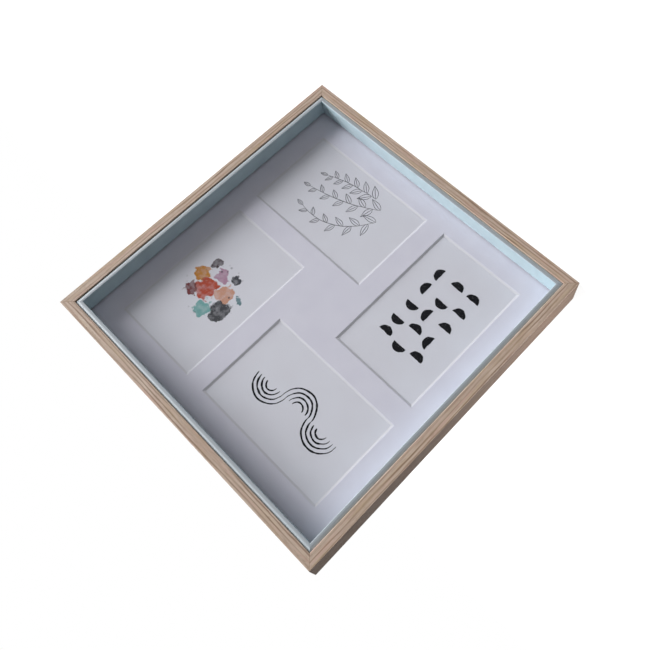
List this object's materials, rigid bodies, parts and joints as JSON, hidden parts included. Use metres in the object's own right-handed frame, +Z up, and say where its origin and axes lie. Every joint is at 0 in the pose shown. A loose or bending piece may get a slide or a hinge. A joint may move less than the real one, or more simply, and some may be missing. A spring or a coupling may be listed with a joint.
{
  "type": "collage photo frame",
  "caption": "Deep square collage photo frame: washed-oak rails, pale blue liner, glass and a bevelled mat over prints in a pinwheel, with swivel turn buttons and swinging hanger rings behind.",
  "frame": {"origin": "middle of the base, on the surface that the frame stands on", "axes": "+Z up, the front faces -Y, +X to the right seen from the front"},
  "size_m": [0.325, 0.0394, 0.325],
  "materials": {
    "oak": "washed oak, matt, grain along each rail",
    "liner_paint": "pale duck-egg blue paint, satin",
    "glass": "clear float glass",
    "mat": "white mat board, white bevels",
    "print_paper": "smooth off-white paper with a printed design",
    "corrugated": "corrugated card",
    "fibreboard": "smooth fibreboard",
    "plated_steel": "nickel-plated pressed steel",
    "screw_steel": "zinc-plated steel",
    "ring_steel": "nickel-plated wire",
    "rivet_steel": "nickel-plated steel",
    "felt_rubber": "matt rubber"
  },
  "bodies": {
    "frame": {"rail_top": "oak", "rail_bottom": "oak", "rail_left": "oak", "rail_right": "oak", "liner_top": "liner_paint", "liner_bottom": "liner_paint", "liner_left": "liner_paint", "liner_right": "liner_paint", "glass_pane": "glass", "mat_board": "mat", "print_top_left": "print_paper", "print_top_right": "print_paper", "print_bottom_right": "print_paper", "print_bottom_left": "print_paper", "filler_board": "corrugated", "backing_board": "fibreboard", "turn_button_screws": "screw_steel", "hanger_strap_left": "plated_steel", "hanger_strap_right": "plated_steel", "hanger_rivets": "rivet_steel", "corner_v_nails": "screw_steel", "wall_bumpers": "felt_rubber"},
    "turn_button_bottom_left": {"turn_button_bottom_left": "plated_steel"},
    "turn_button_bottom_right": {"turn_button_bottom_right": "plated_steel"},
    "turn_button_right_lower": {"turn_button_right_lower": "plated_steel"},
    "turn_button_right_upper": {"turn_button_right_upper": "plated_steel"},
    "turn_button_top_right": {"turn_button_top_right": "plated_steel"},
    "turn_button_top_left": {"turn_button_top_left": "plated_steel"},
    "turn_button_left_upper": {"turn_button_left_upper": "plated_steel"},
    "turn_button_left_lower": {"turn_button_left_lower": "plated_steel"},
    "hanger_ring_left": {"hanger_ring_left": "ring_steel"},
    "hanger_ring_right": {"hanger_ring_right": "ring_steel"}
  },
  "joints": [
    {"name": "turn_button_bottom_left_swivel", "type": "hinge", "parent": "frame", "child": "turn_button_bottom_left", "pos_m": [-0.06, 0.01532, 0.00475], "axis": [0, 1, 0], "range_deg": [-90, 90]},
    {"name": "turn_button_bottom_right_swivel", "type": "hinge", "parent": "frame", "child": "turn_button_bottom_right", "pos_m": [0.06, 0.01532, 0.00475], "axis": [0, 1, 0], "range_deg": [-90, 90]},
    {"name": "turn_button_right_lower_swivel", "type": "hinge", "parent": "frame", "child": "turn_button_right_lower", "pos_m": [0.15775, 0.01532, 0.1025], "axis": [0, 1, 0], "range_deg": [-90, 90]},
    {"name": "turn_button_right_upper_swivel", "type": "hinge", "parent": "frame", "child": "turn_button_right_upper", "pos_m": [0.15775, 0.01532, 0.2225], "axis": [0, 1, 0], "range_deg": [-90, 90]},
    {"name": "turn_button_top_right_swivel", "type": "hinge", "parent": "frame", "child": "turn_button_top_right", "pos_m": [0.06, 0.01532, 0.32025], "axis": [0, 1, 0], "range_deg": [-90, 90]},
    {"name": "turn_button_top_left_swivel", "type": "hinge", "parent": "frame", "child": "turn_button_top_left", "pos_m": [-0.06, 0.01532, 0.32025], "axis": [0, 1, 0], "range_deg": [-90, 90]},
    {"name": "turn_button_left_upper_swivel", "type": "hinge", "parent": "frame", "child": "turn_button_left_upper", "pos_m": [-0.15775, 0.01532, 0.2225], "axis": [0, 1, 0], "range_deg": [-90, 90]},
    {"name": "turn_button_left_lower_swivel", "type": "hinge", "parent": "frame", "child": "turn_button_left_lower", "pos_m": [-0.15775, 0.01532, 0.1025], "axis": [0, 1, 0], "range_deg": [-90, 90]},
    {"name": "hanger_ring_left_swing", "type": "hinge", "parent": "frame", "child": "hanger_ring_left", "pos_m": [-0.08, 0.0171, 0.27], "axis": [1, 0, 0], "range_deg": [0, 180]},
    {"name": "hanger_ring_right_swing", "type": "hinge", "parent": "frame", "child": "hanger_ring_right", "pos_m": [0.08, 0.0171, 0.27], "axis": [1, 0, 0], "range_deg": [0, 180]}
  ]
}
